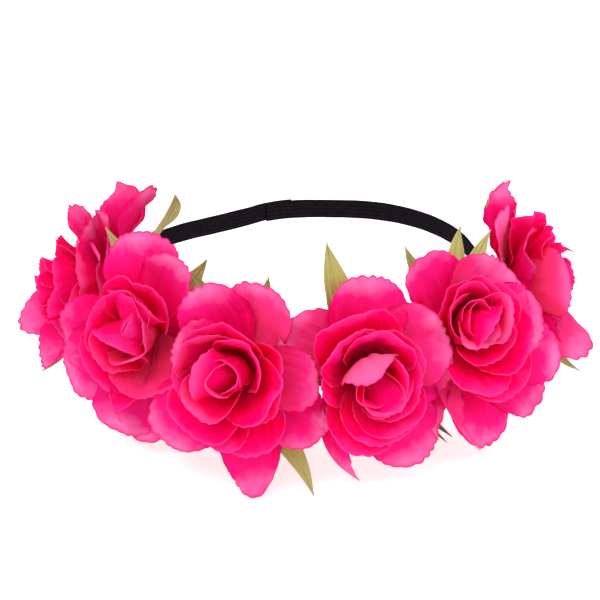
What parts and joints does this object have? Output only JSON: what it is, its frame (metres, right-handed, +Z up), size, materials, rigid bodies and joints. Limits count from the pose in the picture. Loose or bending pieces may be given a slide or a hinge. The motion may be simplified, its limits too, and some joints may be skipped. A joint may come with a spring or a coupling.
{
  "type": "flower crown",
  "caption": "Flower crown: layered fabric rose heads on calyxes along the front of a black elastic headband, with felt backings and a sewn overlap behind.",
  "frame": {"origin": "bottom centre of the bounding box, on the surface that the crown stands on with its lowest petals", "axes": "+Z up as worn, +X to the right of someone who faces the flowers, -Y the way the wearer looks, so the free elastic is at +Y"},
  "size_m": [0.2766, 0.2268, 0.1119],
  "materials": {
    "elastic": "matte black woven elastic",
    "thread": "grey-black polyester thread",
    "felt": "matte black craft felt",
    "calyx_plastic": "moulded green plastic",
    "sepal_fabric": "stiffened yellow-green fabric",
    "petal_outer": "stiffened hot-pink satin, lighter outside",
    "petal_inner": "stiffened hot-pink satin, deep inside",
    "pin_plastic": "moulded pink plastic"
  },
  "bodies": {
    "garland": {"rose_1_felt_backing": "felt", "rose_1_calyx": "calyx_plastic", "rose_1_sepals": "sepal_fabric", "rose_1_petals_guard": "petal_outer", "rose_1_petals_second": "petal_inner", "rose_1_petals_third": "petal_inner", "rose_1_petals_inner": "petal_inner", "rose_1_pin": "pin_plastic", "rose_2_felt_backing": "felt", "rose_2_calyx": "calyx_plastic", "rose_2_sepals": "sepal_fabric", "rose_2_petals_guard": "petal_outer", "rose_2_petals_second": "petal_inner", "rose_2_petals_third": "petal_inner", "rose_2_petals_inner": "petal_inner", "rose_2_pin": "pin_plastic", "rose_3_felt_backing": "felt", "rose_3_calyx": "calyx_plastic", "rose_3_sepals": "sepal_fabric", "rose_3_petals_guard": "petal_outer", "rose_3_petals_second": "petal_inner", "rose_3_petals_third": "petal_inner", "rose_3_petals_inner": "petal_inner", "rose_3_pin": "pin_plastic", "rose_4_felt_backing": "felt", "rose_4_calyx": "calyx_plastic", "rose_4_sepals": "sepal_fabric", "rose_4_petals_guard": "petal_outer", "rose_4_petals_second": "petal_inner", "rose_4_petals_third": "petal_inner", "rose_4_petals_inner": "petal_inner", "rose_4_pin": "pin_plastic", "rose_5_felt_backing": "felt", "rose_5_calyx": "calyx_plastic", "rose_5_sepals": "sepal_fabric", "rose_5_petals_guard": "petal_outer", "rose_5_petals_second": "petal_inner", "rose_5_petals_third": "petal_inner", "rose_5_petals_inner": "petal_inner", "rose_5_pin": "pin_plastic", "rose_6_felt_backing": "felt", "rose_6_calyx": "calyx_plastic", "rose_6_sepals": "sepal_fabric", "rose_6_petals_guard": "petal_outer", "rose_6_petals_second": "petal_inner", "rose_6_petals_third": "petal_inner", "rose_6_petals_inner": "petal_inner", "rose_6_pin": "pin_plastic", "elastic_front": "elastic", "elastic_left_run": "elastic", "elastic_right_run": "elastic"},
    "elastic_back": {"elastic_back": "elastic", "elastic_overlap_end": "elastic", "bar_tack_stitching": "thread"}
  },
  "joints": [
    {"name": "elastic_stretch", "type": "slide", "parent": "garland", "child": "elastic_back", "axis": [0, 1, 0], "range_m": [0, 0.03], "stiffness_N_per_m": 60, "deforming": ["elastic_left_run", "elastic_right_run"]}
  ]
}
